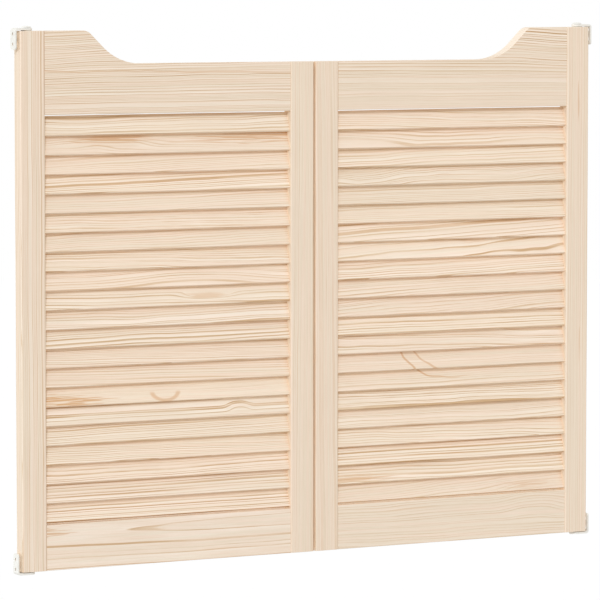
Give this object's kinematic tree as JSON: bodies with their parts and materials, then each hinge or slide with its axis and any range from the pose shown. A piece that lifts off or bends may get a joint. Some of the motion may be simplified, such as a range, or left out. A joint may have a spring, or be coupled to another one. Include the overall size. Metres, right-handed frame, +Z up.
{
  "type": "cafe swinging doors",
  "caption": "Louvred pine saloon doors with S-curved top rails, swinging both ways on sprung pivots held in white jamb brackets.",
  "frame": {"origin": "bottom centre of the pair: midway between the jambs and through the thickness, level with the undersides of the lower brackets", "axes": "+X along the pair from the left leaf to the right leaf, +Y from the front to the back, +Z up"},
  "size_m": [0.93, 0.022, 0.7608],
  "materials": {
    "pine": "bare pine, planed and fine-sanded",
    "steel": "satin stainless steel",
    "enamel": "satin white enamel on steel",
    "nylon": "natural white nylon"
  },
  "bodies": {
    "jamb_fittings": {"left_lower_bracket": "enamel", "left_upper_bracket": "enamel", "left_pivot_pin": "enamel", "right_lower_bracket": "enamel", "right_upper_bracket": "enamel", "right_pivot_pin": "enamel"},
    "left_leaf": {"left_hinge_stile": "pine", "left_meeting_stile": "pine", "left_top_rail": "pine", "left_bottom_rail": "pine", "left_slat_01": "pine", "left_slat_02": "pine", "left_slat_03": "pine", "left_slat_04": "pine", "left_slat_05": "pine", "left_slat_06": "pine", "left_slat_07": "pine", "left_slat_08": "pine", "left_slat_09": "pine", "left_slat_10": "pine", "left_slat_11": "pine", "left_slat_12": "pine", "left_slat_13": "pine", "left_slat_14": "pine", "left_slat_15": "pine", "left_slat_16": "pine", "left_slat_17": "pine", "left_slat_18": "pine", "left_slat_19": "pine", "left_slat_20": "pine", "left_slat_21": "pine", "left_spring_cartridge": "steel", "left_upper_bush": "nylon"},
    "right_leaf": {"right_hinge_stile": "pine", "right_meeting_stile": "pine", "right_top_rail": "pine", "right_bottom_rail": "pine", "right_slat_01": "pine", "right_slat_02": "pine", "right_slat_03": "pine", "right_slat_04": "pine", "right_slat_05": "pine", "right_slat_06": "pine", "right_slat_07": "pine", "right_slat_08": "pine", "right_slat_09": "pine", "right_slat_10": "pine", "right_slat_11": "pine", "right_slat_12": "pine", "right_slat_13": "pine", "right_slat_14": "pine", "right_slat_15": "pine", "right_slat_16": "pine", "right_slat_17": "pine", "right_slat_18": "pine", "right_slat_19": "pine", "right_slat_20": "pine", "right_slat_21": "pine", "right_spring_cartridge": "steel", "right_upper_bush": "nylon"}
  },
  "joints": [
    {"name": "left_swing", "type": "hinge", "parent": "jamb_fittings", "child": "left_leaf", "pos_m": [-0.4445, 0, 0.004], "axis": [0, 0, 1], "range_deg": [-90, 90], "stiffness_Nm_per_rad": 1.2},
    {"name": "right_swing", "type": "hinge", "parent": "jamb_fittings", "child": "right_leaf", "pos_m": [0.4445, 0, 0.004], "axis": [0, 0, 1], "range_deg": [-90, 90], "stiffness_Nm_per_rad": 1.2}
  ]
}
